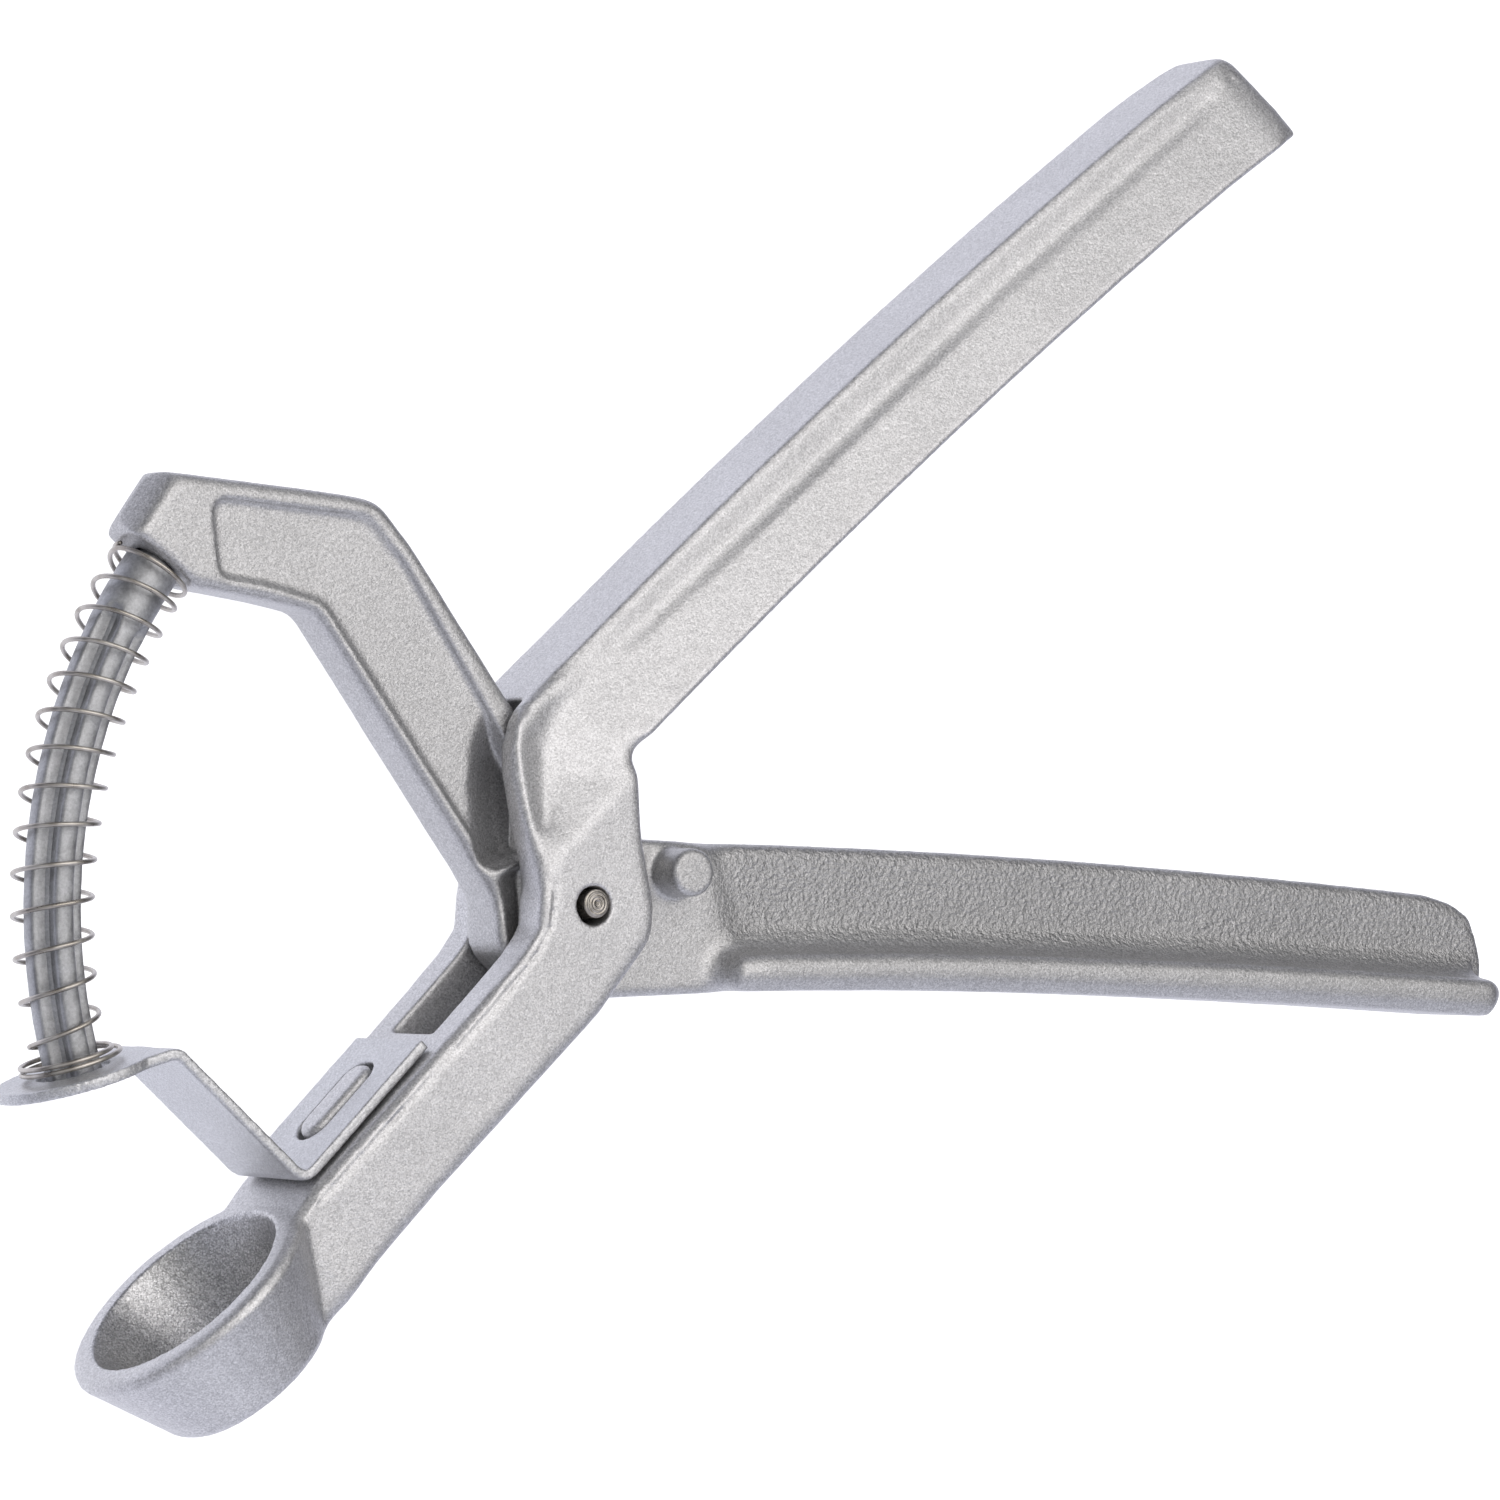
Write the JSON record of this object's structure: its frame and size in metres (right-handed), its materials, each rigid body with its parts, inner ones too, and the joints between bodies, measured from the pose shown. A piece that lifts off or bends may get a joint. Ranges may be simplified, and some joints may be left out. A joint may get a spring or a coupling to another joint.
{
  "type": "cherry stoner",
  "caption": "Hand-held cherry stoner: two cast handles on a pivot pin, a curved plunger in a coil spring, a bent stripper plate and an open cup.",
  "frame": {"origin": "centre of the bounding box, on the surface the tool lies on when it is laid on its side", "axes": "+X from the cup end towards the lower handle's end, +Y from the cup up towards the upper handle, +Z across the tool, parallel to the pivot pin; the tool is symmetric about its middle plane at Z = 13.9 mm"},
  "size_m": [0.1826, 0.1448, 0.0278],
  "materials": {
    "painted_casting": "die-cast aluminium with a fine sparkling silver-grey paint",
    "painted_plate": "sheet steel with the same silver-grey paint",
    "bare_aluminium": "bare, dull die-cast aluminium",
    "spring_steel": "drawn stainless spring wire",
    "pin_steel": "turned steel, cut end showing"
  },
  "bodies": {
    "body": {"body_casting": "painted_casting", "stripper_plate": "painted_plate", "plunger_spring": "spring_steel", "pivot_pin": "pin_steel"},
    "lever": {"lever_casting": "painted_casting", "plunger": "bare_aluminium"}
  },
  "joints": [
    {"name": "lever_pivot", "type": "hinge", "parent": "body", "child": "lever", "pos_m": [-0.02873, -0.01964, 0.0139], "axis": [0, 0, 1], "range_deg": [0, 32], "stiffness_Nm_per_rad": 0.31, "springref_deg": -8.59, "deforming": ["plunger_spring"]}
  ]
}
